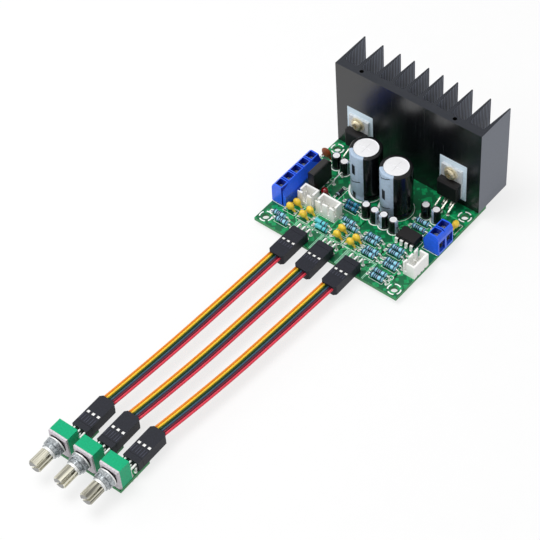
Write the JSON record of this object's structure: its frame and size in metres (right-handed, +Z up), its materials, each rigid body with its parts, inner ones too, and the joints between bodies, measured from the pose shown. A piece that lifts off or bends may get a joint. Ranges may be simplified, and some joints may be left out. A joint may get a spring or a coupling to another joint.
{
  "type": "stereo audio amplifier module",
  "caption": "Populated amplifier board with a finned heatsink, screw terminals and pin sockets, and dual rotary controls on flat ribbon leads with plugs at both ends.",
  "frame": {"origin": "centre of the four corner holes, in the plane of the board's underside", "axes": "+X along the heatsink to the right, +Y from the ribbon edge to the heatsink, +Z up out of the component side"},
  "size_m": [0.0758, 0.2303, 0.0491],
  "materials": {
    "board": "solder-masked green laminate",
    "heatsink": "black anodised extrusion",
    "plated_steel": "bright plated",
    "brass_tint": "passivated",
    "tinned": "tinned leads",
    "insulator": "matt",
    "black_moulding": "fine matt moulding",
    "grey_moulding": "satin moulding",
    "black_sleeve": "shrink sleeve",
    "ceramic_coat": "dipped and waxed",
    "resistor_coat": "lacquered",
    "diode_glass": "clear",
    "lamp_lens": "diffused",
    "white_plastic": "satin",
    "blue_plastic": "satin",
    "control_green": "satin",
    "wafer": "phenolic",
    "ribbon": "six coloured wires side by side"
  },
  "bodies": {
    "module": {"main_board": "board", "heatsink": "heatsink", "heatsink_screws": "plated_steel", "insulating_pads": "insulator", "power_chip_bodies": "black_moulding", "power_chip_leads": "tinned", "chip_washers": "plated_steel", "chip_screws": "brass_tint", "reservoir_capacitor_left": "black_sleeve", "reservoir_capacitor_right": "black_sleeve", "small_capacitors": "black_sleeve", "ceramic_capacitors": "ceramic_coat", "resistors": "resistor_coat", "signal_diode": "diode_glass", "wire_jumper": "tinned", "preamp_chip_body": "black_moulding", "preamp_chip_legs": "tinned", "bridge_rectifier_body": "black_moulding", "bridge_rectifier_leads": "tinned", "indicator_lamp": "lamp_lens", "two_way_socket": "white_plastic", "three_way_socket": "white_plastic", "edge_socket": "white_plastic", "socket_pins": "tinned", "power_terminal": "blue_plastic", "output_terminal": "blue_plastic", "wire_cages": "plated_steel", "board_header_blocks": "black_moulding", "board_header_pins": "tinned", "plug_contacts": "tinned", "board_plug_left": "grey_moulding", "board_plug_middle": "grey_moulding", "board_plug_right": "grey_moulding", "control_plug_left": "grey_moulding", "control_plug_middle": "grey_moulding", "control_plug_right": "grey_moulding", "control_housings": "control_green", "control_washers": "plated_steel", "control_nuts": "plated_steel", "resistance_wafers": "wafer", "wafer_terminals": "tinned", "control_boards": "board", "control_header_blocks": "black_moulding", "control_header_pins": "tinned", "ribbon_left": "ribbon", "ribbon_middle": "ribbon", "ribbon_right": "ribbon", "control_bushing_left": "plated_steel", "control_bushing_middle": "plated_steel", "control_bushing_right": "plated_steel"},
    "control_shaft_left_body": {"control_shaft_left": "plated_steel"},
    "control_shaft_middle_body": {"control_shaft_middle": "plated_steel"},
    "control_shaft_right_body": {"control_shaft_right": "plated_steel"},
    "clamp_screw_1_body": {"clamp_screw_1": "plated_steel"},
    "clamp_screw_2_body": {"clamp_screw_2": "plated_steel"},
    "clamp_screw_3_body": {"clamp_screw_3": "plated_steel"},
    "clamp_screw_4_body": {"clamp_screw_4": "plated_steel"},
    "clamp_screw_5_body": {"clamp_screw_5": "plated_steel"},
    "clamp_screw_6_body": {"clamp_screw_6": "plated_steel"},
    "clamp_screw_7_body": {"clamp_screw_7": "plated_steel"}
  },
  "joints": [
    {"name": "turn_control_left", "type": "hinge", "parent": "module", "child": "control_shaft_left_body", "pos_m": [-0.01923, -0.17165, 0.0081], "axis": [0.0262, -0.9997, 0], "range_deg": [-150, 150]},
    {"name": "turn_control_middle", "type": "hinge", "parent": "module", "child": "control_shaft_middle_body", "pos_m": [-0.00653, -0.17125, 0.0081], "axis": [0.0262, -0.9997, 0], "range_deg": [-150, 150]},
    {"name": "turn_control_right", "type": "hinge", "parent": "module", "child": "control_shaft_right_body", "pos_m": [0.00637, -0.17055, 0.0081], "axis": [0.0262, -0.9997, 0], "range_deg": [-150, 150]},
    {"name": "turn_clamp_screw_1", "type": "hinge", "parent": "module", "child": "clamp_screw_1_body", "pos_m": [-0.0345, -0.01311, 0.0081], "axis": [0, 0, 1], "range_deg": [-720, 720]},
    {"name": "turn_clamp_screw_2", "type": "hinge", "parent": "module", "child": "clamp_screw_2_body", "pos_m": [-0.0345, -0.00803, 0.0081], "axis": [0, 0, 1], "range_deg": [-720, 720]},
    {"name": "turn_clamp_screw_3", "type": "hinge", "parent": "module", "child": "clamp_screw_3_body", "pos_m": [-0.0345, -0.00295, 0.0081], "axis": [0, 0, 1], "range_deg": [-720, 720]},
    {"name": "turn_clamp_screw_4", "type": "hinge", "parent": "module", "child": "clamp_screw_4_body", "pos_m": [-0.0345, 0.00213, 0.0081], "axis": [0, 0, 1], "range_deg": [-720, 720]},
    {"name": "turn_clamp_screw_5", "type": "hinge", "parent": "module", "child": "clamp_screw_5_body", "pos_m": [-0.0345, 0.00721, 0.0081], "axis": [0, 0, 1], "range_deg": [-720, 720]},
    {"name": "turn_clamp_screw_6", "type": "hinge", "parent": "module", "child": "clamp_screw_6_body", "pos_m": [0.0345, 0.00316, 0.0081], "axis": [0, 0, 1], "range_deg": [-720, 720]},
    {"name": "turn_clamp_screw_7", "type": "hinge", "parent": "module", "child": "clamp_screw_7_body", "pos_m": [0.0345, 0.00824, 0.0081], "axis": [0, 0, 1], "range_deg": [-720, 720]}
  ]
}
